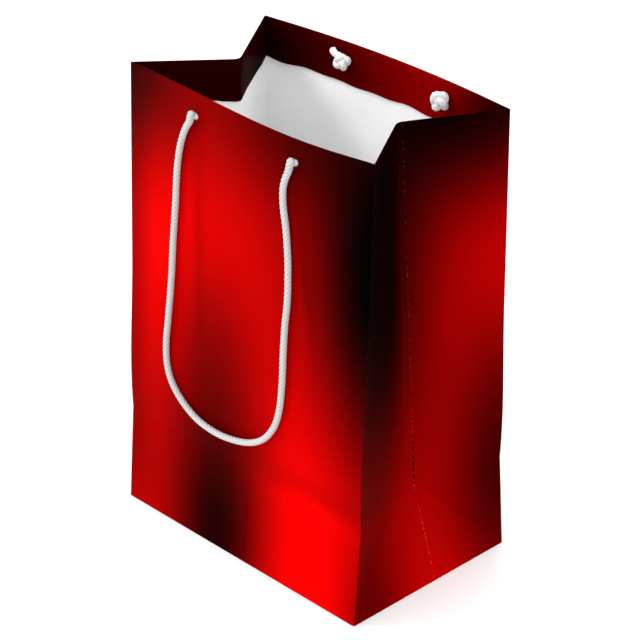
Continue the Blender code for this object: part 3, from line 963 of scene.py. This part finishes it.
def make_board():
    """The loose board: rounded corners and softened edges."""
    centre, size = (BOARD_LOW + BOARD_HIGH) / 2, BOARD_HIGH - BOARD_LOW
    form = bmesh.new()
    bmesh.ops.create_cube(form, size=1.0)
    bmesh.ops.scale(form, vec=size, verts=form.verts)
    upright = [e for e in form.edges if abs(e.verts[0].co.z - e.verts[1].co.z) > size.z / 2]
    bmesh.ops.bevel(form, geom=upright, offset=0.002, segments=5, affect="EDGES", profile=0.5)
    rims = [e for e in form.edges if e.calc_face_angle(0.0) > 1.0]
    bmesh.ops.bevel(form, geom=rims, offset=0.0002, segments=2, affect="EDGES", profile=0.5)
    mesh = bpy.data.meshes.new("loose_base_board")
    form.to_mesh(mesh)
    form.free()
    obj = link("loose_base_board", mesh)
    obj.location = centre
    mesh.materials.append(BOARD)
    shade_smooth(mesh)
    settle(obj)
    stand_for(obj, "base_board", "base")


def make_seam_flap():
    """The glued strip inside the front wall's left edge, where the sheet's two ends meet."""
    s_lines = np.linspace(SEAM_INSET, SEAM_INSET + SEAM_WIDTH, 9)
    g_lines = SCORE_G + SEAM_START + lines(WALL_RISE - HEM - 1.5 * SEAM_START)
    points, places = panel_points(s_lines, g_lines, SHEET + SEAM_GAP)
    obj = paper_piece("side_seam_paper", points, places, materials=(INSIDE, INSIDE, EDGE))
    stand_for(obj, "side_seam_flap", "front_wall")


# ---------------------------------------------------------------- cords and knots


def catmull_rom(points, parts=12):
    """A smooth curve through the points."""
    points = [Vector(p) for p in points]
    ends = [points[0] * 2 - points[1], *points, points[-1] * 2 - points[-2]]
    fine = []
    for a, b, c, d in zip(ends, ends[1:], ends[2:], ends[3:]):
        for i in range(parts):
            t = i / parts
            square, cube = a * 2 - b * 5 + c * 4 - d, b * 3 - a - c * 3 + d
            fine.append((b * 2 + (c - a) * t + square * t**2 + cube * t**3) / 2)
    return [*fine, points[-1]]


def evenly(points, step):
    """The curve again, with its points about `step` apart."""
    line = np.array([tuple(p) for p in points])
    along = np.concatenate([[0.0], np.cumsum(np.linalg.norm(np.diff(line, axis=0), axis=1))])
    at = np.linspace(0.0, along[-1], max(2, round(along[-1] / step) + 1))
    return np.stack([np.interp(at, along, line[:, k]) for k in range(3)], -1), along[-1]


def rope_mesh(name, route, radius, material, caps, thicker):
    """A rope of twisted strands along the route. Each of its two ends rounds off over the
    length in `caps`, and it is thicker there by the share in `thicker`."""
    line, length = evenly(route, ROPE_STEP)
    tangents = unit(np.gradient(line, axis=0))
    count = len(line)
    side = unit(np.cross(tangents[0], (0.3, 0.5, 0.8)))
    turns = np.linspace(0.0, 2 * math.pi, ROPE_SIDES, endpoint=False)
    rings, uvs = [], []
    for i in range(count):
        side = unit(side - tangents[i] * np.dot(side, tangents[i]))
        other = np.cross(tangents[i], side)
        walked = length * i / (count - 1)
        phase = turns / (2 * math.pi) - walked / ROPE_PITCH
        lobes = 1 - GROOVE * (1 - np.abs(np.cos(math.pi * STRANDS * phase)))
        thin = radius
        for from_end, cap, extra in zip((walked, length - walked), caps, thicker):
            swollen = 1 + extra * math.exp(-((from_end / THICK_REACH) ** 2))
            thin *= rounding(from_end, cap) * swollen
        ring = np.cos(turns)[:, None] * side + np.sin(turns)[:, None] * other
        rings.append(line[i] + ring * (lobes * thin)[:, None])
        uvs.append(np.stack([phase, np.full(ROPE_SIDES, walked)], -1))
    return tube_mesh(name, material, np.array(rings), np.array(uvs), line[0], line[-1])


def rounding(from_end, cap):
    """The share of the rope's radius that is left this far from an end."""
    if from_end >= cap:
        return 1.0
    return math.sqrt(max(TIP_SHARE, 1 - (1 - from_end / cap) ** 2))


def tube_mesh(name, material, rings, uvs, first, last):
    """A tube through the rings, closed by a point at each end."""
    rows, sides = rings.shape[:2]
    verts = [*rings.reshape(-1, 3).tolist(), list(first), list(last)]
    start, stop = rows * sides, rows * sides + 1
    faces, corner_uvs = [], []
    for i in range(rows - 1):
        for j in range(sides):
            k = (j + 1) % sides
            here, above = i * sides, (i + 1) * sides
            faces.append((here + j, here + k, above + k, above + j))
            extra = 1.0 if k == 0 else 0.0
            corner_uvs += [
                uvs[i, j],
                uvs[i, k] + (extra, 0.0),
                uvs[i + 1, k] + (extra, 0.0),
                uvs[i + 1, j],
            ]
    for j in range(sides):
        k = (j + 1) % sides
        faces.append((start, k, j))
        corner_uvs += [uvs[0, j], uvs[0, k], uvs[0, j]]
        faces.append((stop, (rows - 1) * sides + j, (rows - 1) * sides + k))
        corner_uvs += [uvs[-1, j], uvs[-1, j], uvs[-1, k]]
    mesh = bpy.data.meshes.new(name)
    mesh.from_pydata(verts, [], faces)
    layer = mesh.uv_layers.new(name=ROPE_UV)
    layer.data.foreach_set("uv", np.array(corner_uvs, np.float32).ravel())
    mesh.materials.append(material)
    shade_smooth(mesh)
    form = bmesh.new()
    form.from_mesh(mesh)
    bmesh.ops.recalc_face_normals(form, faces=form.faces)
    form.to_mesh(mesh)
    form.free()
    return mesh


def cord_route(side):
    """From the lobe above the first hole, down round the loop and up to the other lobe."""
    first, *between, last = CORD_ROUTE
    points = []
    for (x, z), (over, lift) in ((first, NUB_LIFT[0]), (last, NUB_LIFT[1])):
        top = (x + over, z + lift, NUB_OUT)
        neck = (x - 0.0002, z + lift * 0.2, NUB_OUT + 0.0004)
        points.append([top, neck])
    route = [*points[0], *((x, z, 0.0) for x, z in between), *reversed(points[1])]
    made = []
    for x, z, out in route:
        across = x if side == FRONT else 2 * HOLE_SHIFT - x
        face = wall_face(np.float64(across), np.float64((z - SCORE_Z) / WALL_RISE), side)
        made.append(Vector(face) + Vector((0.0, side * (CORD_STAND_OFF + out), 0.0)))
    return catmull_rom(made)


def make_knot(side, end):
    """An overhand knot drawn tight inside the hem, with its cord out through the hole."""
    s, g = hole_place(side, end)
    where = Vector(skin(s, g))
    inward = -Vector(soft_normal(s, g))
    up = Vector((0.0, 0.0, 1.0))
    up = (up - inward * up.dot(inward)).normalized()
    across = up.cross(inward)
    turn, size, (over, lift), tail = KNOTS[side, end]
    radius = KNOT_CORD * size
    spread = KNOT_SPREAD * radius
    middle = (over * MM, lift * MM, HEM_PACK + 2.0 * radius)
    # Outside, the cord turns up into the lobe from which the loop hangs.
    nub_lift = NUB_LIFT[0 if end == side else 1]
    route = [
        (-nub_lift[0], nub_lift[1] - 0.0016, -CORD_STAND_OFF),
        (-nub_lift[0], nub_lift[1] * 0.4, -CORD_STAND_OFF),
        (0.0001, 0.0002, -0.0016),
        (0.0, 0.0, 0.0004),
        (0.0, 0.0, HEM_PACK * 0.8),
    ]
    for share in np.linspace(KNOT_FROM, KNOT_TO, KNOT_POINTS):
        t = 2 * math.pi * share
        reach = (2 + math.cos(3 * t)) * spread
        angle = 2 * t + math.radians(turn)
        wave = math.sin(3 * t) * radius
        here = (reach * math.cos(angle), reach * math.sin(angle), wave)
        route.append(tuple(a + b for a, b in zip(middle, here)))
    for place in tail:
        route.append(tuple(a + b * MM for a, b in zip(middle, place)))
    points = [where + across * a + up * b + inward * c for a, b, c in route]
    name = f"{WALL_NAME[side]}_{SIDE_NAME[end]}_knot"
    curve = catmull_rom(points, 8)
    ends = {"caps": (ROPE_CAP, TAIL_CAP), "thicker": (STUB_THICKER, 0.0)}
    mesh = rope_mesh(name + "_cord", curve, radius, KNOT, **ends)
    obj = link(name + "_cord", mesh)
    return stand_for(obj, name, WALL_NAME[side] + "_wall")


def make_cord(side):
    """One handle and its two knots."""
    name = WALL_NAME[side] + "_cord"
    route = cord_route(side)
    line, length = evenly(route, ROPE_STEP)
    ends = {"caps": (ROPE_CAP, ROPE_CAP), "thicker": (NUB_THICKER, NUB_THICKER)}
    mesh = rope_mesh(name + "_rope", route, CORD_RADIUS, CORD, **ends)
    obj = link(name + "_rope", mesh)
    stand_for(obj, name)
    knots = [make_knot(side, end) for end in (LEFT, RIGHT)]
    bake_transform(obj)
    tuple(route[0])
    [tuple(p) for p in line]


# ---------------------------------------------------------------- studio


def make_camera():
    data = bpy.data.cameras.new("camera")
    data.sensor_width = 36.0
    data.lens = CAMERA_LENS
    data.clip_start = 0.05
    data.clip_end = 50.0
    camera = bpy.data.objects.new("camera", data)
    bpy.context.scene.collection.objects.link(camera)
    azimuth, elevation = math.radians(CAMERA_AZIMUTH), math.radians(CAMERA_ELEVATION)
    back = Vector(
        (
            math.sin(azimuth) * math.cos(elevation),
            -math.cos(azimuth) * math.cos(elevation),
            math.sin(elevation),
        )
    )
    camera.location = CAMERA_PLACE
    camera.rotation_mode = "QUATERNION"
    camera.rotation_quaternion = (-back).to_track_quat("-Z", "Y")
    bpy.context.scene.camera = camera


def add_light(name, place, aim, size, power):
    data = bpy.data.lights.new(name, "AREA")
    data.shape = "DISK"
    data.size = size
    data.energy = power
    light = bpy.data.objects.new(name, data)
    bpy.context.scene.collection.objects.link(light)
    light.location = place
    light.rotation_mode = "QUATERNION"
    light.rotation_quaternion = (Vector(aim) - Vector(place)).to_track_quat("-Z", "Y")


def make_studio():
    form = bmesh.new()
    bmesh.ops.create_grid(form, x_segments=1, y_segments=1, size=FLOOR_HALF)
    mesh = bpy.data.meshes.new("studio_floor")
    form.to_mesh(mesh)
    form.free()
    floor = link("studio_floor", mesh)
    floor.location.z = -FLOOR_DROP
    material, _, shader = new_material("studio_floor", Roughness=0.9, Specular_IOR_Level=0.1)
    shader.inputs["Base Color"].default_value = (FLOOR_SHADE, FLOOR_SHADE, FLOOR_SHADE, 1.0)
    mesh.materials.append(material)
    world = bpy.data.worlds.new("studio")
    world.use_nodes = True
    background = world.node_tree.nodes["Background"]
    background.inputs["Color"].default_value = (1.0, 1.0, 1.0, 1.0)
    background.inputs["Strength"].default_value = WORLD_LIGHT
    bpy.context.scene.world = world
    add_light("key", KEY_PLACE, LIGHT_AIM, KEY_SIZE, KEY_POWER)
    add_light("side", SIDE_PLACE, LIGHT_AIM, SIDE_SIZE, SIDE_POWER)
    bpy.context.scene.view_settings.view_transform = "Standard"


make_camera()
# The cord and knots are one yarn in two copies: the knots' is painted lighter and the cord's darker,
# standing in for the dimmer light inside the hem and the brighter light on the front loop.
CORD = cord_yarn("cord_yarn", 0.52, 0.33)
KNOT = cord_yarn("knot_yarn", 0.80, 0.60)
for wall in (FRONT, BACK):
    make_cord(wall)

PRINTED = printed_paper("printed_paper")
INSIDE = inside_paper("inside_paper")
EDGE = paper_edge("paper_edge")
CARD = grey_card("grey_card")
BOARD = lined_board("lined_board")
for wall in (FRONT, BACK):
    make_wall(wall)
    for gusset in (LEFT, RIGHT):
        make_gusset_half(gusset, wall)
make_tray()
make_bottom()
make_seam_flap()
make_studio()
